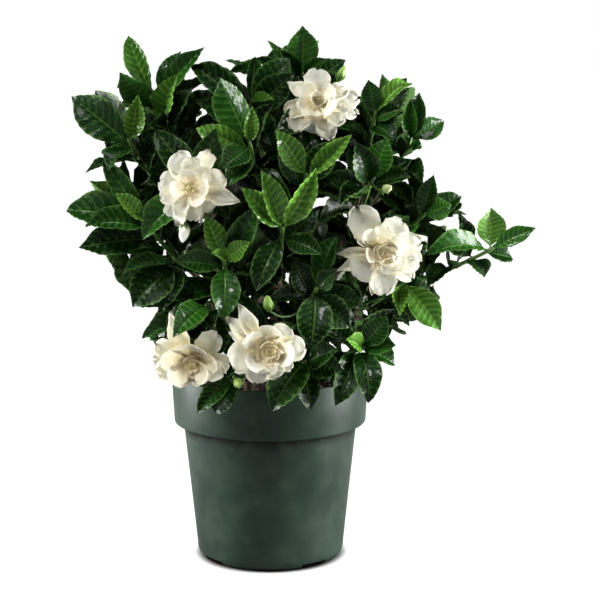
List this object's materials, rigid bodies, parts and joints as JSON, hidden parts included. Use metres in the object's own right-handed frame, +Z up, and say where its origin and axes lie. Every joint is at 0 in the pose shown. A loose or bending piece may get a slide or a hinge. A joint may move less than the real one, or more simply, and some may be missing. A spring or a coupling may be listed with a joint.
{
  "type": "potted gardenia",
  "caption": "Bushy gardenia with glossy dark leaves, white double flowers and green buds, growing in a round plastic nursery pot with a rim band and drain notches.",
  "frame": {"origin": "centre of the pot's underside, on the ground", "axes": "+Z up along the pot's axis, -Y towards the show side with the flowers, +X to the right of a viewer at the show side"},
  "size_m": [0.3684, 0.3096, 0.439],
  "materials": {
    "pot_plastic": "satin",
    "potting_soil": "matt",
    "bark": "matt",
    "leaf": "glossy",
    "calyx": "satin",
    "petal": "matt",
    "bud": "satin"
  },
  "bodies": {
    "root": {"bud_centre": "bud", "bud_right": "bud", "bud_skirt": "bud", "bud_top": "bud", "bud_white": "bud", "calyx_lower_centre": "calyx", "calyx_lower_left": "calyx", "calyx_right": "calyx", "calyx_top": "calyx", "calyx_upper_left": "calyx", "flower_lower_centre": "petal", "flower_lower_left": "petal", "flower_right": "petal", "flower_top": "petal", "flower_upper_left": "petal", "nursery_pot": "pot_plastic", "potting_soil": "potting_soil", "shoot_back_01": "leaf", "shoot_back_02": "leaf", "shoot_back_03": "leaf", "shoot_back_04": "leaf", "shoot_back_05": "leaf", "shoot_back_06": "leaf", "shoot_back_07": "leaf", "shoot_back_08": "leaf", "shoot_back_09": "leaf", "shoot_back_10": "leaf", "shoot_back_11": "leaf", "shoot_back_12": "leaf", "shoot_back_13": "leaf", "shoot_back_14": "leaf", "shoot_centre": "leaf", "shoot_centre_high": "leaf", "shoot_centre_inner": "leaf", "shoot_centre_low": "leaf", "shoot_centre_skirt": "leaf", "shoot_crown_centre": "leaf", "shoot_flower_lower_centre": "leaf", "shoot_flower_lower_left": "leaf", "shoot_flower_right": "leaf", "shoot_flower_top": "leaf", "shoot_flower_upper_left": "leaf", "shoot_front_skirt": "leaf", "shoot_left_centre": "leaf", "shoot_left_crown": "leaf", "shoot_left_high": "leaf", "shoot_left_low": "leaf", "shoot_left_mid": "leaf", "shoot_left_skirt": "leaf", "shoot_right_arm": "leaf", "shoot_right_arm_high": "leaf", "shoot_right_crown": "leaf", "shoot_right_high": "leaf", "shoot_right_low": "leaf", "shoot_right_mid": "leaf", "shoot_right_skirt": "leaf", "shoot_top": "leaf", "woody_stem_centre": "bark", "woody_stem_left": "bark", "woody_stem_right": "bark"}
  },
  "joints": []
}
